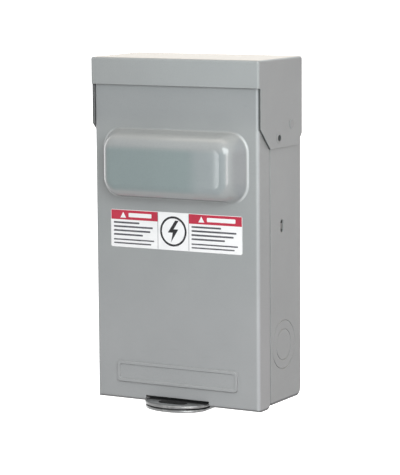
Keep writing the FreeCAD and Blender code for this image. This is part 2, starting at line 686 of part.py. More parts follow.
def padlock_slot():
    """The stadium-shaped cutter for the shackle hole, long in X."""
    straight = PADLOCK_HOLE_HALF_WIDTH - PADLOCK_HOLE_RADIUS
    low = HASP_LOW - THROUGH
    high = BOX_BOTTOM + THROUGH
    ends = [rod(PADLOCK_HOLE_RADIUS, (x, PADLOCK_HOLE_Y, low), (x, PADLOCK_HOLE_Y, high))
            for x in (-straight, straight)]
    middle = block(-straight, straight, PADLOCK_HOLE_Y - PADLOCK_HOLE_RADIUS,
                   PADLOCK_HOLE_Y + PADLOCK_HOLE_RADIUS, low, high)
    return ends[0].fuse([ends[1], middle])


def hasp_plate():
    """Doubled galvanised tab under the box, folded at its rear edge, with the padlock hole."""
    upper = hasp_layer(0, BOX_BOTTOM)
    lower = hasp_layer(HASP_INSET, HASP_LOW + HASP_SHEET)
    half = HASP_HALF_WIDTH - HASP_INSET
    fold = block(-half, half, HASP_ROOT - HASP_SHEET, HASP_ROOT, HASP_LOW, BOX_BOTTOM)
    return join(upper, lower, fold).cut(padlock_slot().fuse(hasp_rivet_holes()))


def hasp_rivet(x):
    """Rivet through both layers of the hasp and the box bottom."""
    def at(z):
        return (x, HASP_RIVET_Y, z)
    seat = BOX_BOTTOM + SHEET
    head = cone(RIVET_HEAD_RADIUS, RIVET_HEAD_TOP, at(seat), at(seat + RIVET_HEAD_HEIGHT))
    return join(rod(RIVET_RADIUS, at(HASP_LOW), at(seat)), head)


# ---- labels -------------------------------------------------------------------------
def warning_label():
    return rounded_slab(WARNING_HALF_WIDTH, WARNING_BOTTOM, WARNING_TOP, LABEL_CORNER,
                        DOOR_FRONT, DOOR_FRONT - LABEL_THICKNESS)


def diagram_label():
    inside = DOOR_FRONT + SHEET
    return rounded_slab(DIAGRAM_HALF_WIDTH, DIAGRAM_BOTTOM, DIAGRAM_TOP, LABEL_CORNER,
                        inside, inside + LABEL_THICKNESS)


# ---- switch base and contacts -------------------------------------------------------
def lug_places():
    return [-LINE_X, -LOAD_X, LOAD_X, LINE_X]


def base_screw_places():
    return [(x, z) for x in (-BASE_SCREW_X, BASE_SCREW_X) for z in BASE_SCREW_Z]


def shield_screw_places():
    return [(-SHIELD_SCREW_X, SHIELD_SCREW_Z), (SHIELD_SCREW_X, SHIELD_SCREW_Z)]


def lug_pocket(x):
    """Pocket for one lug, with a narrower way down to the base's lower edge."""
    front = BASE_FRONT - THROUGH
    pocket = block(x - LUG_POCKET_HALF, x + LUG_POCKET_HALF, front, BASE_FLOOR,
                   LUG_LOW - LUG_POCKET_BELOW, LUG_HIGH + LUG_POCKET_ABOVE)
    way = block(x - WIRE_WAY_HALF, x + WIRE_WAY_HALF, front, BASE_FLOOR - STRAP_GAP,
                BASE_BOTTOM - THROUGH, LUG_LOW)
    return pocket.fuse(way)


def pole_channel(sign):
    """Space in the base for one pole: two lug pockets, the strap runs and the jaws."""
    line = sign * LINE_X
    load = sign * LOAD_X
    half = STRAP_HALF_WIDTH + STRAP_GAP
    front = BASE_FRONT - THROUGH
    upright_line = block(line - half, line + half, front, BASE_FLOOR, LUG_HIGH, LINE_JAW_Z + half)
    across = block(line, load - sign * half, front, BASE_FLOOR, LINE_JAW_Z - half, LINE_JAW_Z + half)
    upright_load = block(load - half, load + half, front, BASE_FLOOR, LUG_HIGH, LOAD_JAW_Z + half)
    return lug_pocket(line).fuse([lug_pocket(load), upright_line, across, upright_load])


def base_ear(x, z):
    """Screw ear at the base's side."""
    ear = block(x - BASE_EAR_HALF_WIDTH, x + BASE_EAR_HALF_WIDTH, -SHEET - BASE_EAR_THICKNESS, -SHEET,
                z - BASE_EAR_HALF_HEIGHT, z + BASE_EAR_HALF_HEIGHT)
    return ear.makeFillet(BASE_EAR_CORNER, edges_along_y(ear))


def switch_base():
    """Moulded insulating block with the pull-out pocket, lug pockets and four ears."""
    body = block(-BASE_HALF_WIDTH, BASE_HALF_WIDTH, BASE_FRONT, -SHEET, BASE_BOTTOM, BASE_TOP)
    body = body.makeFillet(BASE_CORNER, edges_along_y(body))
    body = body.makeFillet(BASE_EDGE, edges_at_y(body, BASE_FRONT))
    gap = HEAD_CLEARANCE
    pocket = rounded_slab(HEAD_HALF_WIDTH + gap, HEAD_BOTTOM - gap, HEAD_TOP + gap, HEAD_CORNER + gap,
                          BASE_FRONT - THROUGH, BASE_FLOOR - STRAP_THICKNESS)
    cuts = [pole_channel(-1), pole_channel(1)]
    cuts += [rod(SCREW_RADIUS, (x, 0, z), (x, -SCREW_DEPTH, z)) for x, z in base_screw_places()]
    cuts += [rod(SHIELD_SCREW_RADIUS, (x, BASE_FRONT - THROUGH, z), (x, BASE_FRONT + SHIELD_SCREW_DEPTH, z))
             for x, z in shield_screw_places()]
    ears = [base_ear(x, z) for x, z in base_screw_places()]
    return body.fuse(ears).cut(pocket.fuse(cuts)).removeSplitter()


def jaw(x, z):
    """Two spring leaves standing on the strap, flared at the mouth."""
    root = BASE_FLOOR - STRAP_THICKNESS + ROOT_OVERLAP
    inner = BLADE_HALF_THICKNESS + JAW_CLEARANCE
    outer = inner + LEAF_THICKNESS
    mouth = inner + LEAF_FLARE
    throat = JAW_FRONT + LEAF_FLARE_DEPTH
    leaves = []
    for sign in (-1, 1):
        outline = [(inner, root), (inner, throat), (mouth, JAW_FRONT),
                   (mouth + LEAF_TIP, JAW_FRONT), (outer, throat), (outer, root)]
        points = [FreeCAD.Vector(x + sign * px, py, z - JAW_HALF_HEIGHT) for px, py in outline]
        face = Part.Face(Part.makePolygon(points + points[:1]))
        leaves.append(face.extrude(FreeCAD.Vector(0, 0, 2 * JAW_HALF_HEIGHT)))
    return leaves


def strap(x0, x1, z0, z1):
    return block(x0, x1, BASE_FLOOR, BASE_FLOOR - STRAP_THICKNESS, z0, z1)


def line_contact(sign):
    """Copper strap from an outer lug up and inwards to an upper jaw."""
    x = sign * LINE_X
    load = sign * LOAD_X
    half = STRAP_HALF_WIDTH
    top = LINE_JAW_Z + half - 1
    upright = strap(x - half, x + half, LUG_LOW, top)
    across = strap(x - sign * half, load - sign * half, LINE_JAW_Z - half + 1, top)
    return join(upright, across, *jaw(load, LINE_JAW_Z))


def load_contact(sign):
    """Copper strap from an inner lug straight up to a lower jaw."""
    x = sign * LOAD_X
    half = STRAP_HALF_WIDTH
    return join(strap(x - half, x + half, LUG_LOW, LOAD_JAW_Z + half - 1), *jaw(x, LOAD_JAW_Z))


def jaw_spring(x, z):
    """Steel ring that squeezes a pair of leaves."""
    inner = BLADE_HALF_THICKNESS + JAW_CLEARANCE + LEAF_THICKNESS
    outer = inner + SPRING_THICKNESS
    tall = JAW_HALF_HEIGHT + SPRING_THICKNESS
    ring = block(x - outer, x + outer, SPRING_FRONT, SPRING_REAR, z - tall, z + tall)
    hole = block(x - inner, x + inner, SPRING_FRONT - THROUGH, SPRING_REAR + THROUGH,
                 z - JAW_HALF_HEIGHT, z + JAW_HALF_HEIGHT)
    return ring.cut(hole)


def terminal_lug(x):
    """Aluminium box lug: wire hole upwards from below, set-screw hole from the front."""
    body = block(x - LUG_HALF_WIDTH, x + LUG_HALF_WIDTH, LUG_FRONT, BASE_FLOOR - STRAP_THICKNESS,
                 LUG_LOW, LUG_HIGH)
    body = body.makeFillet(LUG_EDGE, edges_at_y(body, LUG_FRONT))
    wire = rod(LUG_WIRE_RADIUS, (x, LUG_WIRE_Y, LUG_LOW - THROUGH), (x, LUG_WIRE_Y, LUG_HIGH + THROUGH))
    screw = rod(SET_SCREW_RADIUS, (x, LUG_WIRE_Y, LUG_MIDDLE), (x, LUG_FRONT - THROUGH, LUG_MIDDLE))
    return body.cut(wire.fuse(screw))


def slotted_screw(radius, head_radius, head_height, seat, tip, place):
    """A pan-head machine screw along Y, driven from the front."""
    x, z = place
    front = seat - head_height
    head = rod(head_radius, (x, seat, z), (x, front, z))
    head = head.makeFillet(head_height * SCREW_HEAD_ROUNDING, edges_at_y(head, front))
    slot = block(x - head_radius, x + head_radius, front - THROUGH, seat - head_height / 2,
                 z - SCREW_SLOT / 2, z + SCREW_SLOT / 2)
    return join(rod(radius, (x, tip, z), (x, seat, z)), head).cut(slot)


def back_screw(place, seat):
    """Screw from inside through a part and into the box back."""
    return slotted_screw(SCREW_RADIUS, SCREW_HEAD_RADIUS, SCREW_HEAD_HEIGHT, seat, SCREW_TIP, place)


def shield_screw(place):
    return slotted_screw(SHIELD_SCREW_RADIUS, SHIELD_SCREW_HEAD, SHIELD_SCREW_HEIGHT,
                         BASE_FRONT - SHIELD_THICKNESS, BASE_FRONT + SHIELD_SCREW_DEPTH - 1, place)


def set_screw(x, z, radius, tip, front):
    """Headless slotted screw, backed out clear of the wire hole."""
    body = rod(radius, (x, tip, z), (x, front, z))
    return body.cut(block(x - radius, x + radius, front - THROUGH, front + SET_SCREW_SLOT_DEPTH,
                          z - SCREW_SLOT / 2, z + SCREW_SLOT / 2))


def lug_set_screw(x):
    return set_screw(x, LUG_MIDDLE, SET_SCREW_RADIUS, LUG_WIRE_Y - LUG_WIRE_RADIUS,
                     LUG_FRONT - SET_SCREW_PROUD)


def dead_front():
    """Insulating shield over the live parts, hooked into the side walls."""
    front = BASE_FRONT - SHIELD_THICKNESS
    past = BASE_FRONT + THROUGH
    gap = 2 * HEAD_CLEARANCE
    plate = rounded_slab(SHIELD_HALF_WIDTH, SHIELD_BOTTOM, SHIELD_TOP, SHIELD_CORNER, BASE_FRONT, front)
    tab = block(SHIELD_HALF_WIDTH - ROOT_OVERLAP, SHIELD_TAB_END, front, BASE_FRONT,
                SHIELD_TAB_Z - SHIELD_TAB_HALF, SHIELD_TAB_Z + SHIELD_TAB_HALF)
    skirt = block(-BASE_HALF_WIDTH, BASE_HALF_WIDTH, front, BASE_FRONT + SKIRT_DEPTH,
                  SHIELD_BOTTOM, SHIELD_BOTTOM + SHIELD_THICKNESS)
    window = rounded_slab(HEAD_HALF_WIDTH + gap, HEAD_BOTTOM - gap, HEAD_TOP + gap, HEAD_CORNER + gap,
                          past, front - THROUGH)
    cuts = [rod(SHIELD_SCREW_RADIUS, (x, past, z), (x, front - THROUGH, z)) for x, z in shield_screw_places()]
    cuts += [rod(SCREWDRIVER_HOLE, (x, past, LUG_MIDDLE), (x, front - THROUGH, LUG_MIDDLE))
             for x in lug_places()]
    return plate.fuse([on_both_sides(tab), skirt]).cut(window.fuse(cuts)).removeSplitter()


# ---- pull-out head ------------------------------------------------------------------
def pullout_body():
    """Moulded shell that guides in the base pocket and carries the blades."""
    outer = rounded_slab(HEAD_HALF_WIDTH, HEAD_BOTTOM, HEAD_TOP, HEAD_CORNER, HEAD_REAR, HEAD_FRONT)
    hollow = rounded_slab(HEAD_HALF_WIDTH - HEAD_WALL, HEAD_BOTTOM + HEAD_WALL, HEAD_TOP - HEAD_WALL,
                          HEAD_CORNER - HEAD_WALL / 2, HEAD_REAR + THROUGH, BLADE_BAR_FRONT)
    past = HEAD_FRONT - THROUGH
    rivets = [rod(BLADE_RIVET_RADIUS, (x, BLADE_BAR_REAR, HEAD_CENTRE), (x, past, HEAD_CENTRE))
              for x in (-LOAD_X, LOAD_X)]
    return outer.cut(hollow.fuse(rivets))


def blade_leg(x, z):
    """One blade, chamfered at its tip."""
    thick = BLADE_HALF_THICKNESS
    tip = JAW_FRONT + BLADE_ENGAGEMENT
    shoulder = tip - BLADE_CHAMFER
    outline = [(-thick, BLADE_BAR_FRONT), (thick, BLADE_BAR_FRONT), (thick, shoulder),
               (BLADE_TIP_HALF, tip), (-BLADE_TIP_HALF, tip), (-thick, shoulder)]
    points = [FreeCAD.Vector(x + px, py, z - BLADE_HALF_HEIGHT) for px, py in outline]
    face = Part.Face(Part.makePolygon(points + points[:1]))
    return face.extrude(FreeCAD.Vector(0, 0, 2 * BLADE_HALF_HEIGHT))


def shorting_blade(x):
    """Copper bridge: two legs that enter the jaws, joined by a bar at the front."""
    bar = block(x - BLADE_BAR_HALF_WIDTH, x + BLADE_BAR_HALF_WIDTH, BLADE_BAR_FRONT, BLADE_BAR_REAR,
                LOAD_JAW_Z - BLADE_HALF_HEIGHT, LINE_JAW_Z + BLADE_HALF_HEIGHT)
    hole = rod(BLADE_RIVET_RADIUS, (x, BLADE_BAR_FRONT - THROUGH, HEAD_CENTRE),
               (x, BLADE_BAR_REAR + THROUGH, HEAD_CENTRE))
    return join(bar, blade_leg(x, LOAD_JAW_Z), blade_leg(x, LINE_JAW_Z)).cut(hole)


def blade_rivet(x):
    """Rivet that holds a shorting blade in the pull-out body."""
    def at(y):
        return (x, y, HEAD_CENTRE)
    shank = rod(BLADE_RIVET_RADIUS, at(BLADE_BAR_REAR), at(HEAD_FRONT))
    head = cone(BLADE_RIVET_HEAD, RIVET_RADIUS, at(BLADE_BAR_REAR), at(BLADE_BAR_REAR + RIVET_HEAD_HEIGHT))
    return join(shank, head)


def handle_slab(half_width, half_height, corner, y0, y1):
    """A rounded slab centred on the pull-out head."""
    return rounded_slab(half_width, HEAD_CENTRE - half_height, HEAD_CENTRE + half_height, corner, y0, y1)


def pullout_handle():
    """Cover plate and T-grip, moulded in one and fixed over the body's front."""
    face = HEAD_FRONT - HANDLE_PLATE
    rear = GRIP_FRONT + GRIP_DEPTH
    plate = handle_slab(HANDLE_HALF_WIDTH, HANDLE_HALF_HEIGHT, HEAD_CORNER, HEAD_FRONT, face)
    plate = plate.makeFillet(HANDLE_EDGE, edges_at_y(plate, face))
    stem = handle_slab(GRIP_STEM_HALF, GRIP_STEM_HALF_HEIGHT, GRIP_STEM_CORNER,
                       face + ROOT_OVERLAP, rear - GRIP_DEPTH / 2)
    bar = handle_slab(GRIP_HALF_WIDTH, GRIP_HALF_HEIGHT, GRIP_CORNER, rear, GRIP_FRONT)
    bar = bar.makeFillet(GRIP_EDGE, edges_at_y(bar, GRIP_FRONT) + edges_at_y(bar, rear))
    return join(plate, stem, bar)


# ---- ground bar ---------------------------------------------------------------------
def ground_screw_places():
    return [(x, GROUND_BAR_Z) for x in (-GROUND_SCREW_X, GROUND_SCREW_X)]


def ground_bar():
    """Aluminium bar on the box back with four wire holes and their set screws' holes."""
    low = GROUND_BAR_Z - GROUND_HALF_HEIGHT
    high = GROUND_BAR_Z + GROUND_HALF_HEIGHT
    body = block(-GROUND_HALF_WIDTH, GROUND_HALF_WIDTH, GROUND_FRONT, -SHEET, low, high)
    body = body.makeFillet(GROUND_EDGE, edges_at_y(body, GROUND_FRONT))
    cuts = [rod(SCREW_RADIUS, (x, 0, z), (x, GROUND_FRONT - THROUGH, z)) for x, z in ground_screw_places()]
    cuts += [rod(GROUND_WIRE_RADIUS, (x, GROUND_WIRE_Y, low - THROUGH), (x, GROUND_WIRE_Y, high + THROUGH))
             for x in GROUND_WIRE_X]
    past = GROUND_FRONT - THROUGH
    cuts += [rod(GROUND_SET_SCREW, (x, GROUND_WIRE_Y, GROUND_BAR_Z), (x, past, GROUND_BAR_Z))
             for x in GROUND_WIRE_X]
    return body.cut(cuts[0].fuse(cuts[1:]))


def ground_set_screw(x):
    return set_screw(x, GROUND_BAR_Z, GROUND_SET_SCREW, GROUND_WIRE_Y - GROUND_WIRE_RADIUS,
                     GROUND_FRONT - SET_SCREW_PROUD)


# ---- the whole assembly -------------------------------------------------------------
write("back_box", back_box())
write("top_hood", top_hood())
write("front_door", front_door())
write("hinge_rivet_right", hinge_rivet())
write("hinge_rivet_left", mirrored(hinge_rivet()))
write("hood_side_rivets", group(hood_side_rivet(), mirrored(hood_side_rivet())))
write("hood_back_rivets", group(*[hood_back_rivet(x) for x in HOOD_BACK_RIVET_X]))
write("hasp_plate", hasp_plate())
write("hasp_rivets", group(*[hasp_rivet(x) for x in HASP_RIVET_X]))
write("warning_label", warning_label())
write("diagram_label", diagram_label())
write("switch_base", switch_base())
base_seat = -SHEET - BASE_EAR_THICKNESS
write("base_screws", group(*[back_screw(place, base_seat) for place in base_screw_places()]))
for side, sign in (("left", -1), ("right", 1)):
    write("line_contact_" + side, line_contact(sign))
    write("load_contact_" + side, load_contact(sign))
    write("line_lug_" + side, terminal_lug(sign * LINE_X))
    write("load_lug_" + side, terminal_lug(sign * LOAD_X))
    write("shorting_blade_" + side, shorting_blade(sign * LOAD_X))
write("jaw_springs", group(*[jaw_spring(x, z) for x in (-LOAD_X, LOAD_X) for z in (LOAD_JAW_Z, LINE_JAW_Z)]))
write("lug_set_screws", group(*[lug_set_screw(x) for x in lug_places()]))
write("dead_front", dead_front())
write("dead_front_screws", group(*[shield_screw(place) for place in shield_screw_places()]))
write("pullout_body", pullout_body())
write("pullout_handle", pullout_handle())
write("blade_rivets", group(blade_rivet(-LOAD_X), blade_rivet(LOAD_X)))
write("ground_bar", ground_bar())
write("ground_bar_screws", group(*[back_screw(place, GROUND_FRONT) for place in ground_screw_places()]))
write("ground_set_screws", group(*[ground_set_screw(x) for x in GROUND_WIRE_X]))
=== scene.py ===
import math

import bmesh
import bpy
from mathutils import Matrix, Vector


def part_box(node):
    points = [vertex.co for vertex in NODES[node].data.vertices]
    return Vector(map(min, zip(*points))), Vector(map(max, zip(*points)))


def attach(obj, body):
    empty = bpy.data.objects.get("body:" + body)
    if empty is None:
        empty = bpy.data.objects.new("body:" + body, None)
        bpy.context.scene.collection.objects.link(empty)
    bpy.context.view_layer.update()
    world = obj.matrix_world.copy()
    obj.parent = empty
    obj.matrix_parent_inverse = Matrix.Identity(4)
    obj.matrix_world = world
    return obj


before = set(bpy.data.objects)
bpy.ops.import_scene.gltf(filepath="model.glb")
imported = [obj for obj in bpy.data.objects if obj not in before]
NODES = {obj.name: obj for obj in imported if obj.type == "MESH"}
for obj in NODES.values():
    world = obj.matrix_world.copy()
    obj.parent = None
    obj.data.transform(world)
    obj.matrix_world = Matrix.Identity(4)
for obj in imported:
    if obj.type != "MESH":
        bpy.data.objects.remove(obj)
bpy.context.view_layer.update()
MM = 0.001


# ---- materials ------------------------------------------------------------------------
class Shader:
    """A material's node tree with short calls for the nodes used here."""

    def __init__(self, name):
        self.material = bpy.data.materials.new(name)
        self.material.use_nodes = True
        self.tree = self.material.node_tree
        self.bsdf = self.tree.nodes["Principled BSDF"]
        coordinates = self.tree.nodes.new("ShaderNodeTexCoord")
        self.place = coordinates.outputs["Object"]
        self.normal = coordinates.outputs["Normal"]
        self.edge_normal = None

    def link(self, source, target):
        self.tree.links.new(source, target)

    def stretched(self, scale):
        """Object coordinates scaled unevenly, for brushed or drawn grain."""
        node = self.tree.nodes.new("ShaderNodeMapping")
        node.inputs["Scale"].default_value = scale
        self.link(self.place, node.inputs["Vector"])
        return node.outputs["Vector"]

    def noise(self, scale, detail=2.0, roughness=0.5, vector=None):
        node = self.tree.nodes.new("ShaderNodeTexNoise")
        node.inputs["Scale"].default_value = scale
        node.inputs["Detail"].default_value = detail
        node.inputs["Roughness"].default_value = roughness
        self.link(vector or self.place, node.inputs["Vector"])
        return node.outputs["Fac"]

    def cells(self, scale, randomness=1.0, feature="F1", output="Color"):
        node = self.tree.nodes.new("ShaderNodeTexVoronoi")
        node.feature = feature
        node.inputs["Scale"].default_value = scale
        node.inputs["Randomness"].default_value = randomness
        self.link(self.place, node.inputs["Vector"])
        return node.outputs[output]

    def ramp(self, value, stops):
        """Colour or grey ramp: stops are (position, colour) pairs."""
        node = self.tree.nodes.new("ShaderNodeValToRGB")
        ramp = node.color_ramp
        while len(ramp.elements) < len(stops):
            ramp.elements.new(0.5)
        for element, (position, colour) in zip(ramp.elements, stops):
            element.position = position
            element.color = colour if len(colour) == 4 else (*colour, 1.0)
        self.link(value, node.inputs["Fac"])
        return node.outputs["Color"]

    def spread(self, value, low, high):
        """Maps a 0..1 value to low..high."""
        node = self.tree.nodes.new("ShaderNodeMapRange")
        node.inputs["To Min"].default_value = low
        node.inputs["To Max"].default_value = high
        self.link(value, node.inputs["Value"])
        return node.outputs["Result"]

    def mix(self, factor, first, second, blend="MIX"):
        node = self.tree.nodes.new("ShaderNodeMix")
        node.data_type = "RGBA"
        node.blend_type = blend
        for socket, value in ((node.inputs[0], factor), (node.inputs[6], first), (node.inputs[7], second)):
            if isinstance(value, bpy.types.NodeSocket):
                self.link(value, socket)
            elif isinstance(value, float):
                socket.default_value = value
            else:
                socket.default_value = (*value, 1.0)
        return node.outputs[2]

    def bump(self, layers):
        """Stacks bump layers, each (height, strength, distance in metres), on the shader's normal."""
        normal = self.edge_normal
        for height, strength, distance in layers:
            node = self.tree.nodes.new("ShaderNodeBump")
            node.inputs["Strength"].default_value = strength
            node.inputs["Distance"].default_value = distance
            self.link(height, node.inputs["Height"])
            if normal:
                self.link(normal, node.inputs["Normal"])
            normal = node.outputs["Normal"]
        self.link(normal, self.bsdf.inputs["Normal"])

    def math(self, operation, first, second=0.0):
        node = self.tree.nodes.new("ShaderNodeMath")
        node.operation = operation
        for socket, value in zip(node.inputs, (first, second)):
            if isinstance(value, bpy.types.NodeSocket):
                self.link(value, socket)
            else:
                socket.default_value = value
        return node.outputs["Value"]

    def axis(self, name):
        """One object coordinate, in metres."""
        node = self.tree.nodes.new("ShaderNodeSeparateXYZ")
        self.link(self.place, node.inputs["Vector"])
        return node.outputs[name]

    def window(self, value, start, end):
        """0 at start, 1 at end, eased between and held outside."""
        node = self.tree.nodes.new("ShaderNodeMapRange")
        node.interpolation_type = "SMOOTHSTEP"
        node.inputs["From Min"].default_value = start
        node.inputs["From Max"].default_value = end
        self.link(value, node.inputs["Value"])
        return node.outputs["Result"]

    def round_edges(self, radius):
        """Softens sharp edges in the shading, and returns a mask that is 1 along them."""
        bevel = self.tree.nodes.new("ShaderNodeBevel")
        bevel.inputs["Radius"].default_value = radius
        bevel.samples = 4
        geometry = self.tree.nodes.new("ShaderNodeNewGeometry")
        dot = self.tree.nodes.new("ShaderNodeVectorMath")
        dot.operation = "DOT_PRODUCT"
        self.link(bevel.outputs["Normal"], dot.inputs[0])
        self.link(geometry.outputs["Normal"], dot.inputs[1])
        self.edge_normal = bevel.outputs["Normal"]
        return self.window(dot.outputs["Value"], 0.999, 0.93)

    def facing(self, name):
        """One component of the surface's normal, in object space so that it moves with the piece."""
        node = self.tree.nodes.new("ShaderNodeSeparateXYZ")
        self.link(self.normal, node.inputs["Vector"])
        return node.outputs[name]

    def both(self, *masks):
        """1 only where every mask is 1."""
        result = masks[0]
        for mask in masks[1:]:
            result = self.math("MULTIPLY", result, mask)
        return result

    def off_axis(self, name):
        """1 on faces that turn away from the axis, 0 on faces square to it."""
        return self.window(self.absolute(self.facing(name)), 0.75, 0.45)

    def crevices(self, distance):
        """1 in the open, falling to 0 deep inside gaps and corners."""
        node = self.tree.nodes.new("ShaderNodeAmbientOcclusion")
        node.samples = 8
        node.inputs["Distance"].default_value = distance
        return node.outputs["AO"]

    def tinted(self, mask, colour, tint):
        """The colour, multiplied by a tint where the mask is 1."""
        return self.mix(mask, colour, self.mix(1.0, colour, tint, "MULTIPLY"))

    def absolute(self, socket):
        """The socket's value without its sign."""
        return self.math("ABSOLUTE", socket)

    def within(self, name, start, end):
        """A mask along one axis: 0 at start, 1 at end, both in millimetres."""
        return self.window(self.axis(name), start * MM, end * MM)

    def from_middle(self, start, end):
        """The same, measured either side of the middle plane."""
        return self.window(self.absolute(self.axis("X")), start * MM, end * MM)

    def set(self, **values):
        """Constant values straight on the shader's sockets."""
        for name, value in values.items():
            self.bsdf.inputs[name.replace("_", " ")].default_value = value

    def colour(self, socket):
        self.link(socket, self.bsdf.inputs["Base Color"])

    def rough(self, socket):
        self.link(socket, self.bsdf.inputs["Roughness"])


def powder_coat(name, light, dark, roughness, piece):
    """Grey powder coat: orange peel, waviness, mottling, flecks, pale dust on upward faces that also
    paints them lighter as light from above, painted light and shade tints, painted shade in crevices and
    on undersides, and worn edges.
    """
    s = Shader(name)
    edges = s.round_edges(0.5 * MM)
    mottling = s.ramp(s.noise(14.0, 4.0, 0.6), ((0.35, dark), (0.68, light)))
    flecks = s.ramp(s.noise(2600.0, 1.0), ((0.30, (0.86, 0.86, 0.87)), (0.42, (1.0, 1.0, 1.0))))
    scuffs = s.ramp(s.noise(60.0, 6.0, 0.7, s.stretched((1.0, 1.0, 7.0))),
                    ((0.60, (1.0, 1.0, 1.0)), (0.78, (0.93, 0.93, 0.93))))
    colour = s.mix(1.0, s.mix(1.0, mottling, flecks, "MULTIPLY"), scuffs, "MULTIPLY")
    rough = s.spread(s.noise(45.0, 5.0, 0.65), roughness - 0.05, roughness + 0.07)
    coat_roughness = DOOR_COAT_ROUGHNESS if piece == "door" else PAINT_COAT_ROUGHNESS
    s.set(Specular_IOR_Level=0.5, Coat_Weight=PAINT_COAT, Coat_Roughness=coat_roughness)
    # Pale dust on upward faces, which also stands in for light from above: it makes the top faces much
    # paler and warmer, a painted light. On the door it is faint and paints the dome's upper shoulder
    # paler.
    dust = s.window(s.facing("Z"), 0.80, 0.98)
    if piece == "door":
        dust = s.math("MULTIPLY", s.window(s.facing("Z"), 0.25, 1.0), 0.10)
        colour = door_tones(s, colour)
    if piece == "hood":
        # Painted light: the hood's front faces grow lighter from the left towards the right.
        lip = s.both(s.window(s.facing("Y"), -0.80, -0.97), s.within("X", -60.0, 15.0))
        colour = s.tinted(lip, colour, LIP_LIGHT_TINT)
        # Painted shade: the thin edge faces of the hood's side pieces, below its front lip, are made near
        # black and rough.
        edge_shade = s.both(s.within("Z", HOOD_LIP_EDGE + 0.6, HOOD_LIP_EDGE - 0.4), s.off_axis("X"))
        colour = s.mix(edge_shade, colour, DEEP_SHADE)
        rough = s.math("MAXIMUM", rough, s.math("MULTIPLY", edge_shade, 0.8))
    if piece == "box":
        # Painted shade: the box's front edge, seen through the door's notch, is made near black.
        behind_notch_shade = s.both(s.within("Z", -119.0, -120.0), s.within("Y", -56.0, -58.0),
                              s.from_middle(28.0, 26.0))
        colour = s.mix(behind_notch_shade, colour, DEEP_SHADE)
    # Painted light: faces that look sideways are darker and warmer.
    colour = s.tinted(s.window(s.absolute(s.facing("X")), 0.80, 0.97), colour, SIDE_LIGHT_TINT)
    # Dust that is also painted light from above on upward faces.
    colour = s.mix(dust, colour, s.mix(s.noise(90.0, 4.0, 0.7), PALE_DUST_AND_TOP_LIGHT, DEEP_DUST_AND_TOP_LIGHT))
    rough = s.math("MAXIMUM", rough, s.math("MULTIPLY", dust, 0.85))
    colour = s.mix(s.math("MULTIPLY", edges, 0.35), colour, EDGE_WEAR)
    # Painted shade: the inside of the hinge rivet's bore is made near black.
    if piece == "rivet":
        colour = s.mix(bore(s), colour, DEEP_SHADE)
    # Painted shade on low downward faces and along the lowest rim.
    colour = s.tinted(underside_shade(s, DOOR_FOOT if piece == "door" else BOX_FOOT), colour, UNDERSIDE_SHADE_TINT)
    # Painted shade: ambient occlusion darkens the paint in gaps, corners and creases; the outer side faces
    # low down are left without it.
    crevice_shade = s.ramp(s.crevices(4.0 * MM), ((0.05, (0.22, 0.22, 0.22)), (0.45, (1.0, 1.0, 1.0))))
    unshaded_side = s.both(s.from_middle(66.2, 66.5), s.within("Z", 61.0, 57.0))
    crevice_shade = s.mix(unshaded_side, crevice_shade, (1.0, 1.0, 1.0))
    s.colour(s.mix(1.0, colour, crevice_shade, "MULTIPLY"))
    s.rough(rough)
    s.bump(((s.noise(5.5, 1.0), 0.12, 0.004), (s.noise(620.0, 2.0), 0.22, 0.00006),
            (s.noise(2200.0, 1.0), 0.12, 0.00002)))
    return s.material


def underside_shade(s, foot):
    """Painted shade: 1 on low faces that look down, and along the lowest rim on the right."""
    below = s.both(s.window(s.facing("Z"), -0.30, -0.65), s.within("Z", -60.0, -80.0))
    rim = s.both(s.within("Z", foot + 1.9, foot + 1.1), s.within("X", -60.0, 0.0))
    return s.math("MAXIMUM", below, rim)


def bore(s):
    """1 inside the hinge rivet's bore."""
    across = s.math("SUBTRACT", s.axis("Y"), HINGE_Y * MM)
    up = s.math("SUBTRACT", s.axis("Z"), HINGE_Z * MM)
    square = s.math("ADD", s.math("MULTIPLY", across, across), s.math("MULTIPLY", up, up))
    return s.window(s.math("SQRT", square), (BORE_RADIUS + 0.15) * MM, (BORE_RADIUS - 0.05) * MM)


def door_tones(s, colour):
    """The door's tones, mostly painted light: a darker, cooler crown as a painted reflection, a glossier
    dome, painted shade on the dome's right wall and high on the door, painted highlights on the door's
    side folds and on the foot round the dome, and painted light low on the door.
    """
    above_panel = s.within("Z", 10.0, 15.0)
    # Painted reflection: the dome's crown is darker and cooler, less so right of its middle.
    crown = s.both(s.within("Y", -77.4, -79.3), s.within("Z", 10.0, 20.0), s.within("Z", 63.0, 57.0))
    crown_reflection_tint = s.mix(s.within("X", 17.0, 29.0), CROWN_REFLECTION_TINT, CROWN_REFLECTION_TINT_RIGHT)
    colour = s.tinted(crown, colour, crown_reflection_tint)
    drawn = s.both(s.within("Y", DOOR_FACE - 0.1, DOOR_FACE - 1.1), above_panel)
    s.link(s.spread(drawn, PAINT_COAT, 1.0), s.bsdf.inputs["Coat Weight"])
    # Painted shade: the dome's right wall is darker.
    wall = s.both(s.within("X", 50.5, 54.0), s.within("Y", -64.8, -65.6), above_panel)
    colour = s.tinted(wall, colour, WALL_SHADE_TINT)
    # Painted highlight: the folds down both sides of the door are lighter.
    bend = s.both(s.from_middle(64.3, 65.4), s.within("Y", -60.8, -61.8))
    colour = s.tinted(bend, colour, BEND_HIGHLIGHT_TINT)
    # Painted light: the door is lighter low down.
    colour = s.tinted(s.within("Z", 10.0, -70.0), colour, LOWER_DOOR_LIGHT_TINT)
    # Painted shade: the door is darker high up, below the hood.
    colour = s.tinted(s.within("Z", 70.0, 84.0), colour, UPPER_DOOR_SHADE_TINT)
    # Painted highlight: the foot round the dome's sides is paler.
    foot = s.both(s.within("Y", DOOR_FACE - 0.003, DOOR_FACE - 0.03), s.within("Y", -64.7, -64.2),
                  above_panel, s.from_middle(48.0, 56.0))
    return s.mix(foot, colour, FOOT_HIGHLIGHT)


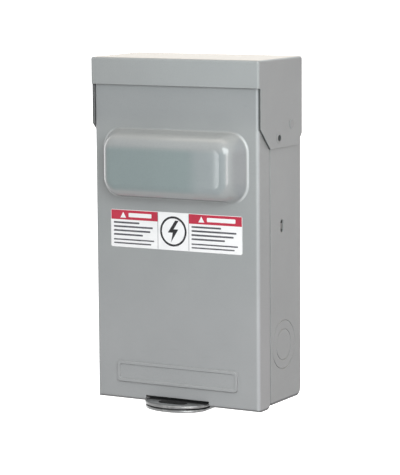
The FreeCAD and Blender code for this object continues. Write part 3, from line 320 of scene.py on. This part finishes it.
def galvanised(name, hasp=False):
    """Zinc-coated steel: spangle cells of differing tone, dull streaks, painted shade in crevices and fine
    pitting; on the hasp, painted shade by its slot and just in front of the door.
    """
    s = Shader(name)
    spangle = s.ramp(s.cells(320.0), ((0.0, (0.44, 0.45, 0.46)), (1.0, (0.66, 0.67, 0.68))))
    streaks = s.ramp(s.noise(90.0, 5.0, 0.6, s.stretched((1.0, 5.0, 1.0))),
                     ((0.35, (0.80, 0.79, 0.77)), (0.7, (1.0, 1.0, 1.0))))
    colour = s.mix(1.0, spangle, streaks, "MULTIPLY")
    rough = s.spread(s.noise(260.0, 3.0), 0.24, 0.46)
    if hasp:
        # Painted shade: the walls of the padlock slot and the top face just in front of the door are made
        # near black, where the door's notch shades them.
        slot = s.both(s.off_axis("Z"), s.within("Y", -76.2, -75.2), s.from_middle(13.0, 12.0))
        under_door_shade = s.both(s.window(s.facing("Z"), 0.4, 0.7), s.within("Y", -67.6, -64.9))
        darkened = s.math("MAXIMUM", slot, under_door_shade)
        colour = s.mix(darkened, colour, HASP_SHADE)
        rough = s.math("MAXIMUM", rough, s.math("MULTIPLY", darkened, 0.8))
    # Painted shade: ambient occlusion darkens the zinc in gaps and corners.
    crevice_shade = s.ramp(s.crevices(3.0 * MM), ((0.05, (0.25, 0.25, 0.25)), (0.5, (1.0, 1.0, 1.0))))
    s.colour(s.mix(1.0, colour, crevice_shade, "MULTIPLY"))
    s.rough(rough)
    s.bump(((s.cells(320.0, output="Distance"), 0.10, 0.00004), (s.noise(1800.0, 2.0), 0.18, 0.00003)))
    s.set(Metallic=1.0)
    return s.material


def plated_screw(name):
    """Zinc-plated steel with turned rings and a slight yellow cast."""
    s = Shader(name)
    tone = s.ramp(s.noise(180.0, 4.0), ((0.3, (0.58, 0.57, 0.54)), (0.7, (0.78, 0.77, 0.74))))
    s.colour(tone)
    s.rough(s.spread(s.noise(700.0, 3.0), 0.22, 0.42))
    s.bump(((s.noise(1500.0, 2.0, vector=s.stretched((1.0, 6.0, 1.0))), 0.2, 0.00003),))
    s.set(Metallic=1.0)
    return s.material


def copper(name):
    """Rolled copper with a light brown bloom and rolling marks."""
    s = Shader(name)
    bloom = s.ramp(s.noise(120.0, 5.0, 0.6), ((0.3, (0.56, 0.27, 0.16)), (0.72, (0.86, 0.50, 0.34))))
    s.colour(bloom)
    s.rough(s.spread(s.noise(300.0, 4.0), 0.20, 0.42))
    s.bump(((s.noise(900.0, 2.0, vector=s.stretched((5.0, 1.0, 0.4))), 0.2, 0.00003),))
    s.set(Metallic=1.0)
    return s.material


def extruded_aluminium(name):
    """Extruded aluminium with die lines along Z."""
    s = Shader(name)
    s.colour(s.ramp(s.noise(150.0, 4.0), ((0.3, (0.66, 0.67, 0.68)), (0.7, (0.83, 0.84, 0.85)))))
    s.rough(s.spread(s.noise(400.0, 3.0, vector=s.stretched((3.0, 3.0, 0.2))), 0.26, 0.44))
    s.bump(((s.noise(1100.0, 2.0, vector=s.stretched((3.0, 3.0, 0.1))), 0.3, 0.00003),))
    s.set(Metallic=1.0)
    return s.material


def spring_steel(name):
    """Blued spring steel."""
    s = Shader(name)
    s.colour(s.ramp(s.noise(220.0, 4.0), ((0.3, (0.16, 0.17, 0.21)), (0.75, (0.34, 0.35, 0.38)))))
    s.rough(s.spread(s.noise(500.0, 3.0), 0.28, 0.45))
    s.bump(((s.noise(1400.0, 2.0), 0.15, 0.00002),))
    s.set(Metallic=1.0)
    return s.material


def moulding(name, light, dark, roughness):
    """Moulded thermoset: matt skin with flow marks and fine grain."""
    s = Shader(name)
    flow = s.ramp(s.noise(40.0, 5.0, 0.6, s.stretched((1.0, 1.0, 2.5))), ((0.3, dark), (0.72, light)))
    s.colour(flow)
    s.rough(s.spread(s.noise(160.0, 4.0), roughness - 0.08, roughness + 0.10))
    s.bump(((s.noise(1300.0, 3.0), 0.25, 0.00005), (s.cells(1700.0, output="Distance"), 0.12, 0.00003)))
    s.set(Specular_IOR_Level=0.45)
    return s.material


def fibre_sheet(name):
    """Pressed insulating sheet: warm grey with short fibres, soiled where its tabs come out."""
    s = Shader(name)
    fibres = s.noise(900.0, 4.0, 0.7, s.stretched((1.0, 1.0, 0.25)))
    sheet = s.ramp(fibres, ((0.3, (0.38, 0.35, 0.29)), (0.7, (0.56, 0.53, 0.46))))
    s.colour(s.mix(s.from_middle(62.0, 64.0), sheet, SOILED_TAB))
    s.rough(s.spread(s.noise(300.0, 3.0), 0.50, 0.68))
    s.bump(((fibres, 0.25, 0.00005),))
    return s.material


def printed_film(name, light, dark, roughness=0.34):
    """Printed vinyl film: ink mottling, dust specks and a slight lift in the surface."""
    s = Shader(name)
    s.colour(s.ramp(s.noise(120.0, 5.0, 0.6), ((0.3, dark), (0.7, light))))
    s.rough(s.spread(s.noise(240.0, 4.0), roughness - 0.06, roughness + 0.08))
    s.bump(((s.noise(90.0, 2.0), 0.10, 0.00008), (s.noise(1600.0, 1.0), 0.10, 0.00002)))
    s.set(Coat_Weight=0.15, Coat_Roughness=0.2)
    return s.material


def studio_paper(name):
    """Matt white sweep under and behind the object."""
    s = Shader(name)
    s.colour(s.ramp(s.noise(3.0, 3.0), ((0.3, (0.79, 0.79, 0.79)), (0.7, (0.82, 0.82, 0.82)))))
    s.rough(s.spread(s.noise(30.0, 3.0), 0.85, 0.95))
    s.bump(((s.noise(220.0, 3.0), 0.05, 0.0002),))
    glow = s.math("MULTIPLY", s.window(s.axis("Y"), 0.8, 2.2), s.window(s.axis("X"), 1.3, 0.5))
    s.link(s.math("MULTIPLY", glow, BACKDROP_GLOW), s.bsdf.inputs["Emission Strength"])
    s.set(Specular_IOR_Level=0.2, Emission_Color=(1.0, 1.0, 1.0, 1.0))
    return s.material


# tints multiply the paint and stand for painted light and shade; the rest are colours of their own, among
# them painted shade, a painted highlight and dust that is partly painted light
CROWN_REFLECTION_TINT = (0.70, 0.82, 0.82)
CROWN_REFLECTION_TINT_RIGHT = (0.87, 0.93, 0.95)
WALL_SHADE_TINT = (0.84, 0.85, 0.87)
BEND_HIGHLIGHT_TINT = (1.22, 1.22, 1.23)
LIP_LIGHT_TINT = (1.06, 1.07, 1.07)
LOWER_DOOR_LIGHT_TINT = (1.08, 1.06, 1.07)
UPPER_DOOR_SHADE_TINT = (0.925, 0.93, 0.94)
SIDE_LIGHT_TINT = (0.955, 0.92, 0.92)
UNDERSIDE_SHADE_TINT = (0.33, 0.33, 0.34)
FOOT_HIGHLIGHT = (0.53, 0.55, 0.555)
DEEP_SHADE = (0.07, 0.075, 0.075)
HASP_SHADE = (0.07, 0.07, 0.072)
SOILED_TAB = (0.235, 0.23, 0.225)
EDGE_WEAR = (0.44, 0.45, 0.45)
PALE_DUST_AND_TOP_LIGHT = (0.63, 0.585, 0.525)
DEEP_DUST_AND_TOP_LIGHT = (0.585, 0.545, 0.485)
PAINT_LIGHT = (0.353, 0.368, 0.371)
PAINT_SHADE = (0.328, 0.343, 0.347)

# places on the object, in millimetres in the shared frame
DOOR_FACE = -63.5
DOOR_FOOT = -125.0
BOX_FOOT = -122.6
HOOD_LIP_EDGE = 103.4
HINGE_Y = -35.7
HINGE_Z = 67.0
BORE_RADIUS = 2.2

PAINT_COAT = 0.40
PAINT_COAT_ROUGHNESS = 0.18
DOOR_COAT_ROUGHNESS = 0.03
PAINT_ROUGHNESS = 0.36
BACKDROP_GLOW = 1.0
PAINT = powder_coat("grey_powder_coat", PAINT_LIGHT, PAINT_SHADE, PAINT_ROUGHNESS, "box")
HOOD_PAINT = powder_coat("hood_powder_coat", PAINT_LIGHT, PAINT_SHADE, PAINT_ROUGHNESS, "hood")
DOOR_PAINT = powder_coat("door_powder_coat", PAINT_LIGHT, PAINT_SHADE, PAINT_ROUGHNESS, "door")
RIVET_PAINT = powder_coat("rivet_powder_coat", (0.325, 0.339, 0.342), (0.30, 0.313, 0.316), 0.42, "rivet")
ZINC = galvanised("galvanised_steel")
HASP_ZINC = galvanised("shaded_galvanised", hasp=True)
SCREW = plated_screw("zinc_plated_screw")
COPPER = copper("rolled_copper")
ALUMINIUM = extruded_aluminium("extruded_aluminium")
SPRING = spring_steel("blued_spring_steel")
BASE_MOULDING = moulding("dark_brown_moulding", (0.050, 0.043, 0.038), (0.028, 0.025, 0.023), 0.46)
GRIP_MOULDING = moulding("black_moulding", (0.030, 0.030, 0.032), (0.016, 0.016, 0.018), 0.40)
SHIELD = fibre_sheet("insulating_sheet")
FILM_WHITE = printed_film("label_white", (0.97, 0.97, 0.98), (0.92, 0.92, 0.93))
INK_RED = printed_film("label_red", (0.60, 0.035, 0.075), (0.50, 0.025, 0.06))
INK_BLACK = printed_film("label_black", (0.030, 0.030, 0.035), (0.018, 0.018, 0.02))
INK_GREY = printed_film("label_grey", (0.13, 0.13, 0.15), (0.08, 0.08, 0.09))
PAPER = studio_paper("studio_paper")

NODE_MATERIALS = {
    PAINT: ("back_box",),
    HOOD_PAINT: ("top_hood",),
    DOOR_PAINT: ("front_door",),
    RIVET_PAINT: ("hinge_rivet_left", "hinge_rivet_right", "hood_side_rivets"),
    HASP_ZINC: ("hasp_plate",),
    ZINC: ("hasp_rivets", "hood_back_rivets"),
    SCREW: ("base_screws", "dead_front_screws", "lug_set_screws", "ground_bar_screws", "ground_set_screws",
            "blade_rivets"),
    COPPER: ("line_contact_left", "line_contact_right", "load_contact_left", "load_contact_right",
             "shorting_blade_left", "shorting_blade_right"),
    ALUMINIUM: ("line_lug_left", "line_lug_right", "load_lug_left", "load_lug_right", "ground_bar"),
    SPRING: ("jaw_springs",),
    BASE_MOULDING: ("switch_base",),
    GRIP_MOULDING: ("pullout_body", "pullout_handle"),
    SHIELD: ("dead_front",),
    FILM_WHITE: ("warning_label", "diagram_label"),
}


def dress(node, material):
    """Puts one material in every slot of a CAD node."""
    mesh = NODES[node].data
    if not mesh.materials:
        mesh.materials.append(material)
    for index in range(len(mesh.materials)):
        mesh.materials[index] = material


for material, names in NODE_MATERIALS.items():
    for node in names:
        dress(node, material)


# ---- printed labels ---------------------------------------------------------------------
INK_THICKNESS = 0.05 * MM
CORNER_STEPS = 4
ROUND_STEPS = 36


class Print:
    """Thin inked shapes on a label's face, gathered into one closed mesh."""

    def __init__(self, name, y, outward):
        self.name = name
        self.y = y
        self.outward = outward
        self.bm = bmesh.new()
        self.materials = []

    def slot(self, material):
        if material not in self.materials:
            self.materials.append(material)
        return self.materials.index(material)

    def shape(self, points, material, height=1.0):
        """A raised shape from an outline of (x, z) points in metres, height in ink thicknesses."""
        near = [self.bm.verts.new((x, self.y, z)) for x, z in points]
        far_y = self.y + self.outward * INK_THICKNESS * height
        far = [self.bm.verts.new((x, far_y, z)) for x, z in points]
        faces = [self.bm.faces.new(near[::-1]), self.bm.faces.new(far)]
        for index in range(len(points)):
            after = (index + 1) % len(points)
            faces.append(self.bm.faces.new((near[index], near[after], far[after], far[index])))
        for face in faces:
            face.material_index = self.slot(material)
        bmesh.ops.recalc_face_normals(self.bm, faces=faces)

    def panel(self, x0, x1, z0, z1, corner, material, height=1.0):
        """A rectangle with rounded corners."""
        points = []
        centres = ((x1 - corner, z1 - corner), (x0 + corner, z1 - corner),
                   (x0 + corner, z0 + corner), (x1 - corner, z0 + corner))
        for quarter, (cx, cz) in enumerate(centres):
            for step in range(CORNER_STEPS + 1):
                angle = math.radians(90 * (quarter + step / CORNER_STEPS))
                points.append((cx + corner * math.cos(angle), cz + corner * math.sin(angle)))
        self.shape(points, material, height)

    def disc(self, cx, cz, radius, material, height=1.0):
        """A round shape about (cx, cz)."""
        turns = [math.radians(360 / ROUND_STEPS * step) for step in range(ROUND_STEPS)]
        points = [(cx + radius * math.cos(turn), cz + radius * math.sin(turn)) for turn in turns]
        self.shape(points, material, height)

    def finish(self, body):
        """Makes the piece and lets it ride its body."""
        mesh = bpy.data.meshes.new(self.name)
        self.bm.to_mesh(mesh)
        self.bm.free()
        for material in self.materials:
            mesh.materials.append(material)
        piece = bpy.data.objects.new(self.name, mesh)
        bpy.context.scene.collection.objects.link(piece)
        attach(piece, body)


def bolt_points(cx, cz, size):
    """A plain zigzag arrow, drawn about (cx, cz)."""
    outline = ((0.10, 0.50), (-0.28, -0.06), (-0.03, -0.06), (-0.12, -0.50), (0.26, 0.10), (0.02, 0.10),
               (0.28, 0.50))
    return [(cx + x * size, cz + z * size) for x, z in outline]


def blank_lines(sheet, x0, x1, top, widths, pitch, thickness):
    """Plain bars where lines of print would be. Widths are parts of the whole line."""
    for row, width in enumerate(widths):
        z1 = top - row * pitch
        sheet.panel(x0, x0 + (x1 - x0) * width, z1 - thickness, z1, thickness * 0.3, INK_GREY)


# the warning label: parts of its width or height, then millimetres
LEFT_CELL_END = 0.362
RIGHT_CELL_START = 0.602
BAND_DEPTH = 0.265
RING_RADIUS = 0.40
RING_BORE = 0.86
BOLT_SIZE = 1.45
LABEL_EDGE = 0.35 * MM
BAND_CORNER = 0.3 * MM
TRIANGLE_MIDDLE = 10.0 * MM
TRIANGLE_HALF_WIDTH = 2.4 * MM
TRIANGLE_HALF_HEIGHT = 2.1 * MM
HEADING_START = 14.5 * MM
HEADING_END = 5.0 * MM
HEADING_HALF_HEIGHT = 1.5 * MM
HEADING_CORNER = 0.6 * MM
TEXT_MARGIN = 2.0 * MM
UPPER_LINES = (1.6 * MM, (0.62, 0.94, 0.88, 0.70), 2.9 * MM, 1.25 * MM)
LOWER_LINES = (14.0 * MM, (0.97, 0.90), 2.6 * MM, 1.0 * MM)
DIVIDER_INSET = 0.2 * MM
DIVIDER_HALF_WIDTH = 0.15 * MM
DIVIDER_CORNER = 0.05 * MM

# heights of stacked ink, in ink thicknesses, so that no two faces lie in one plane
OVER_BAND = 1.6
OVER_RING = 1.5
OVER_DISC = 2.2


def text_cell(sheet, start, end, band, top):
    """A red band with a triangle and a blank heading, over two groups of blank lines."""
    sheet.panel(start, end, band, top, BAND_CORNER, INK_RED)
    middle = (band + top) / 2
    centre = start + TRIANGLE_MIDDLE
    low = middle - TRIANGLE_HALF_HEIGHT
    high = middle + TRIANGLE_HALF_HEIGHT
    triangle = [(centre - TRIANGLE_HALF_WIDTH, low), (centre + TRIANGLE_HALF_WIDTH, low), (centre, high)]
    sheet.shape(triangle, FILM_WHITE, OVER_BAND)
    sheet.panel(start + HEADING_START, end - HEADING_END, middle - HEADING_HALF_HEIGHT,
                middle + HEADING_HALF_HEIGHT, HEADING_CORNER, FILM_WHITE, OVER_BAND)
    for drop, widths, pitch, thickness in (UPPER_LINES, LOWER_LINES):
        blank_lines(sheet, start + TEXT_MARGIN, end - TEXT_MARGIN, band - drop, widths, pitch, thickness)


def warning_print():
    """Three cells: text left and right, and a plain symbol in the middle."""
    (x0, y0, z0), (x1, _, z1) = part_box("warning_label")
    sheet = Print("label_print", y0, -1)
    width = x1 - x0
    height = z1 - z0
    left_end = x0 + width * LEFT_CELL_END
    right_start = x0 + width * RIGHT_CELL_START
    band = z1 - height * BAND_DEPTH
    top = z1 - LABEL_EDGE
    for start, end in ((x0 + LABEL_EDGE, left_end), (right_start, x1 - LABEL_EDGE)):
        text_cell(sheet, start, end, band, top)
    for x in (left_end + DIVIDER_INSET, right_start - DIVIDER_INSET):
        sheet.panel(x - DIVIDER_HALF_WIDTH, x + DIVIDER_HALF_WIDTH, z0 + LABEL_EDGE, top, DIVIDER_CORNER,
                    INK_GREY)
    cx = (left_end + right_start) / 2
    cz = (z0 + z1) / 2
    radius = height * RING_RADIUS
    sheet.disc(cx, cz, radius, INK_BLACK)
    sheet.disc(cx, cz, radius * RING_BORE, FILM_WHITE, OVER_RING)
    sheet.shape(bolt_points(cx, cz, radius * BOLT_SIZE), INK_BLACK, OVER_DISC)
    sheet.finish("door")


# the diagram label
TABLE_INSET = 3.0 * MM
TABLE_ROWS = 6
TABLE_PITCH = 5.0 * MM
RULE = 0.5 * MM
RULE_CORNER = 0.1 * MM
TABLE_TEXT_START = 2.0 * MM
TABLE_TEXT_END = 14.0 * MM
TABLE_TEXT_DROP = 2.0 * MM
TABLE_TEXT_WIDTHS = (0.8, 0.55, 0.9, 0.65, 0.75)
TABLE_TEXT_THICKNESS = 1.4 * MM
CIRCUIT_OFFSET = 12.0 * MM
CIRCUIT_LINES = ((4.0 * MM, 12.0 * MM), (18.0 * MM, 26.0 * MM))
CIRCUIT_DOTS = (13.0 * MM, 17.0 * MM)
DOT_HALF_WIDTH = 1.2 * MM
DOT_CORNER = 0.6 * MM


def diagram_print():
    """Blank ruled table and two plain circuit lines on the label inside the door."""
    (x0, _, z0), (x1, y1, z1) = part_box("diagram_label")
    sheet = Print("diagram_print", y1, 1)
    left = x0 + TABLE_INSET
    top = z1 - TABLE_INSET
    for row in range(TABLE_ROWS):
        z = top - row * TABLE_PITCH
        sheet.panel(left, x1 - TABLE_INSET, z - RULE, z, RULE_CORNER, INK_GREY)
    blank_lines(sheet, left + TABLE_TEXT_START, x1 - TABLE_TEXT_END, top - TABLE_TEXT_DROP,
                TABLE_TEXT_WIDTHS, TABLE_PITCH, TABLE_TEXT_THICKNESS)
    for side in (-1, 1):
        x = (x0 + x1) / 2 + side * CIRCUIT_OFFSET
        for low, high in CIRCUIT_LINES:
            sheet.panel(x - RULE / 2, x + RULE / 2, z0 + low, z0 + high, RULE_CORNER, INK_BLACK)
        for height in CIRCUIT_DOTS:
            z = z0 + height
            sheet.panel(x - DOT_HALF_WIDTH, x + DOT_HALF_WIDTH, z - DOT_HALF_WIDTH, z + DOT_HALF_WIDTH,
                        DOT_CORNER, INK_BLACK)
    sheet.finish("door")


warning_print()
diagram_print()


# ---- studio -----------------------------------------------------------------------------
FLOOR_Z = -1.4
BACKDROP_Y = 2.6
SWEEP_BEND = 1.3
SWEEP_HALF_WIDTH = 20.0
SWEEP_FRONT = -20.0
BACKDROP_TOP = 6.0
BEND_STEPS = 16


def sweep():
    """Pale floor that curves up into a backdrop well behind the object."""
    profile = [(SWEEP_FRONT, FLOOR_Z), (BACKDROP_Y - SWEEP_BEND, FLOOR_Z)]
    for step in range(1, BEND_STEPS + 1):
        turn = math.radians(90 * step / BEND_STEPS)
        profile.append((BACKDROP_Y - SWEEP_BEND + SWEEP_BEND * math.sin(turn),
                        FLOOR_Z + SWEEP_BEND - SWEEP_BEND * math.cos(turn)))
    profile.append((BACKDROP_Y, BACKDROP_TOP))
    bm = bmesh.new()
    rows = [[bm.verts.new((x, y, z)) for y, z in profile] for x in (-SWEEP_HALF_WIDTH, SWEEP_HALF_WIDTH)]
    for index in range(len(profile) - 1):
        bm.faces.new((rows[0][index], rows[1][index], rows[1][index + 1], rows[0][index + 1]))
    mesh = bpy.data.meshes.new("studio_sweep")
    bm.to_mesh(mesh)
    bm.free()
    mesh.shade_smooth()
    mesh.materials.append(PAPER)
    obj = bpy.data.objects.new("studio_sweep", mesh)
    bpy.context.scene.collection.objects.link(obj)


# name, azimuth and elevation in degrees, distance and (width, height) in metres, radiance, colour
LIGHTS = (
    ("top_bank", -5.0, 82.0, 1.7, (1.8, 1.3), 1.05, (1.0, 0.90, 0.79)),
    ("front_bank", 36.0, 22.0, 0.72, (0.46, 0.32), 5.7, (0.94, 1.0, 1.0)),
    ("right_bank", 100.0, 12.0, 1.8, (1.0, 1.4), 0.25, (1.0, 0.80, 0.68)),
    ("glint_left", -27.0, -4.6, 2.38, (0.011, 0.075), 5.2, (0.98, 0.99, 1.0)),
    ("strip_right", 41.0, -3.0, 1.0, (0.30, 0.38), 3.1, (1.0, 0.94, 0.94)),
)
WORLD_STRENGTH = 0.55


def direction(azimuth, elevation):
    """Unit vector: azimuth turns from -Y towards +X, elevation from level towards +Z."""
    turn, rise = math.radians(azimuth), math.radians(elevation)
    return Vector((math.sin(turn) * math.cos(rise), -math.cos(turn) * math.cos(rise), math.sin(rise)))


def soft_box(name, azimuth, elevation, distance, size, radiance, colour):
    """A rectangular area light turned towards the object's middle."""
    light = bpy.data.lights.new(name, "AREA")
    light.shape = "RECTANGLE"
    light.size, light.size_y = size
    light.energy = radiance * math.pi * size[0] * size[1]
    light.color = colour
    obj = bpy.data.objects.new(name, light)
    outward = direction(azimuth, elevation)
    obj.location = outward * distance
    obj.rotation_euler = (-outward).to_track_quat("-Z", "Y").to_euler()
    bpy.context.scene.collection.objects.link(obj)


def world_light():
    world = bpy.data.worlds.new("studio_world")
    world.use_nodes = True
    background = world.node_tree.nodes["Background"]
    background.inputs["Color"].default_value = (1.0, 1.0, 1.0, 1.0)
    background.inputs["Strength"].default_value = WORLD_STRENGTH
    bpy.context.scene.world = world


CAMERA_AZIMUTH = 29.292
CAMERA_ELEVATION = 7.629
CAMERA_ROLL = -0.401
CAMERA_PLACE = (0.78895, -1.43473, 0.20757)
CAMERA_LENS = 170.14
SENSOR_WIDTH = 36.0
CLIP_START = 0.05
CLIP_END = 50.0


def camera():
    """Camera at the product shot's angle: above and to the object's right."""
    roll = math.radians(CAMERA_ROLL)
    back = direction(CAMERA_AZIMUTH, CAMERA_ELEVATION)
    level = Vector((-back.y, back.x, 0.0)).normalized()
    upright = back.cross(level)
    right = math.cos(roll) * level + math.sin(roll) * upright
    up = -math.sin(roll) * level + math.cos(roll) * upright
    data = bpy.data.cameras.new("camera")
    data.lens = CAMERA_LENS
    data.sensor_width = SENSOR_WIDTH
    data.clip_start = CLIP_START
    data.clip_end = CLIP_END
    obj = bpy.data.objects.new("camera", data)
    obj.matrix_world = Matrix.Translation(CAMERA_PLACE) @ Matrix((right, up, back)).transposed().to_4x4()
    bpy.context.scene.collection.objects.link(obj)
    bpy.context.scene.camera = obj


sweep()
world_light()
for light in LIGHTS:
    soft_box(*light)
camera()
bpy.context.scene.view_settings.view_transform = "Standard"
